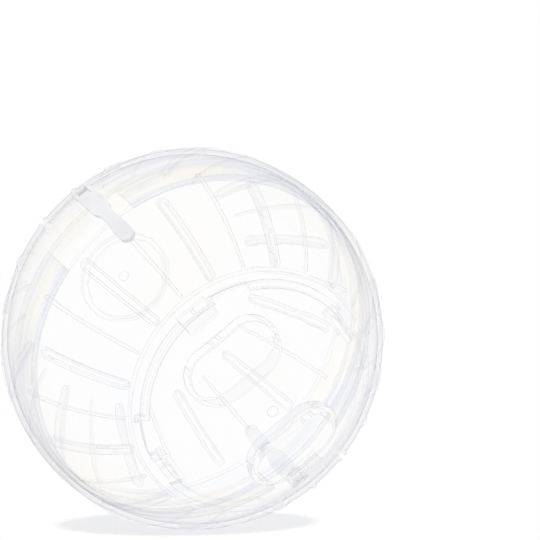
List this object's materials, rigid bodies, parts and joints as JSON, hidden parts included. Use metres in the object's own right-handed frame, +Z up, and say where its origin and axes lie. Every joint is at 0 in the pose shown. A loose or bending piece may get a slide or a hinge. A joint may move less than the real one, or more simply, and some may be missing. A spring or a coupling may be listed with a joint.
{
  "type": "hamster ball",
  "caption": "Small clear exercise ball of ribbed and vented half shells, with a twist-lock door that has finger wells and hinged clips across the seam",
  "frame": {"origin": "centre of the ball's sphere, where the axis through the door crosses the seam's plane", "axes": "-Y points out through the middle of the door, +Y out through the flat foot on the back pole, +Z up and +X to the right as seen from the door; the upper clip is 30 degrees left of +Z"},
  "size_m": [0.12, 0.1223, 0.12],
  "materials": {
    "clear_plastic": "polished clear moulded plastic, slightly cloudy at the edges",
    "grey_plastic": "light grey moulded plastic with a soft shine"
  },
  "bodies": {
    "ball": {"front_shell": "clear_plastic", "back_shell": "clear_plastic"},
    "door": {"door": "clear_plastic"},
    "upper_clip": {"upper_clip": "grey_plastic"},
    "lower_clip": {"lower_clip": "grey_plastic"}
  },
  "joints": [
    {"name": "door_twist", "type": "hinge", "parent": "ball", "child": "door", "pos_m": [0, -0.05, 0], "axis": [0, 1, 0], "range_deg": [0, 20]},
    {"name": "upper_clip_hinge", "type": "hinge", "parent": "ball", "child": "upper_clip", "pos_m": [-0.03048, 0.00889, 0.05279], "axis": [-0.866, 0, -0.5], "range_deg": [0, 120]},
    {"name": "lower_clip_hinge", "type": "hinge", "parent": "ball", "child": "lower_clip", "pos_m": [0.03048, -0.00889, -0.05279], "axis": [-0.866, 0, -0.5], "range_deg": [0, 120]}
  ]
}
